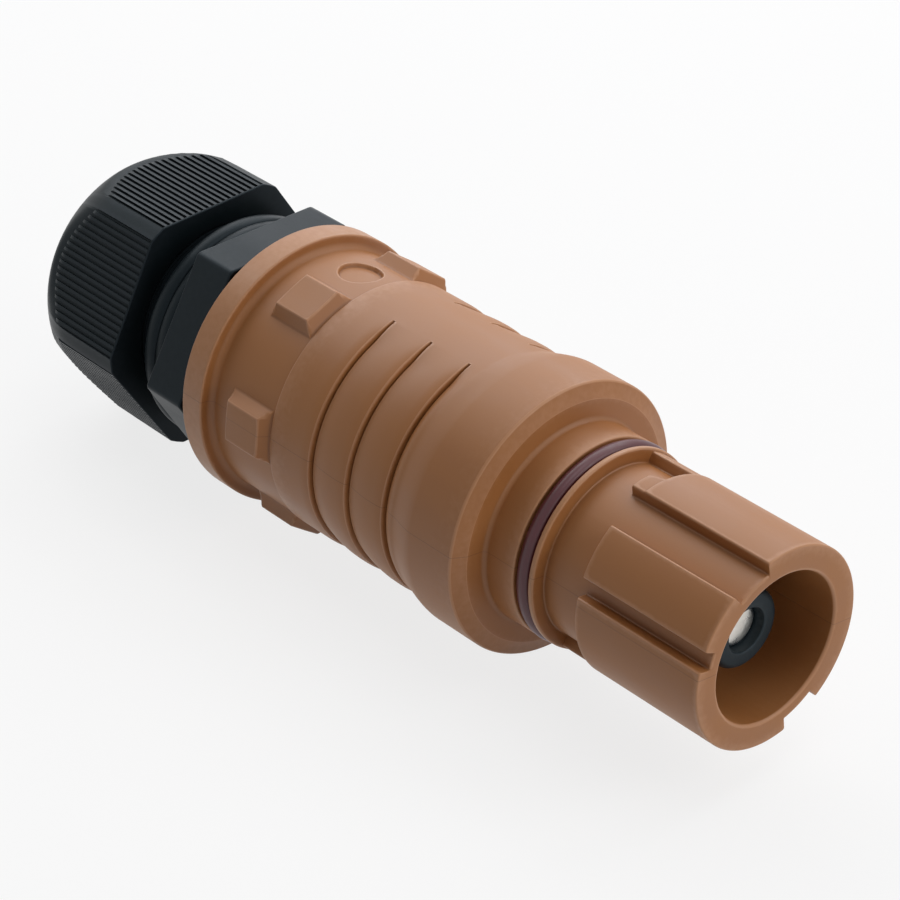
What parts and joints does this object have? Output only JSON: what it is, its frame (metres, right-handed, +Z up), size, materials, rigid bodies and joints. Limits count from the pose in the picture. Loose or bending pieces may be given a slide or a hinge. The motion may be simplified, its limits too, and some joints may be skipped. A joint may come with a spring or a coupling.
{
  "type": "single pole bayonet power connector",
  "caption": "In-line cable connector with a slotted bayonet nose around a guarded contact, a sealed neck, a grooved grip, spanner lugs and a ribbed cable gland.",
  "frame": {"origin": "centre of the mouth, in the plane of the nose's rim", "axes": "+X along the axis, out of the mouth; +Z up, to the middle of a flat of the gland body's hexagon; the part lies on its side"},
  "size_m": [0.1991, 0.062, 0.062],
  "materials": {
    "brown_nylon": "satin moulded nylon",
    "black_nylon": "satin moulded nylon",
    "red_rubber": "smooth",
    "black_rubber": "matt",
    "plated_brass": "silver plated",
    "spring_steel": "phosphated"
  },
  "bodies": {
    "root": {"insulating_shell": "brown_nylon", "nose_o_ring": "red_rubber", "contact_pin": "plated_brass", "touch_guard": "black_nylon", "contact_o_ring": "black_rubber", "thrust_washer": "plated_brass", "retaining_ring": "spring_steel", "set_screws": "spring_steel", "gland_gasket": "black_rubber", "gland_body": "black_nylon", "gland_seal": "black_rubber", "gland_nut": "black_nylon"}
  },
  "joints": []
}
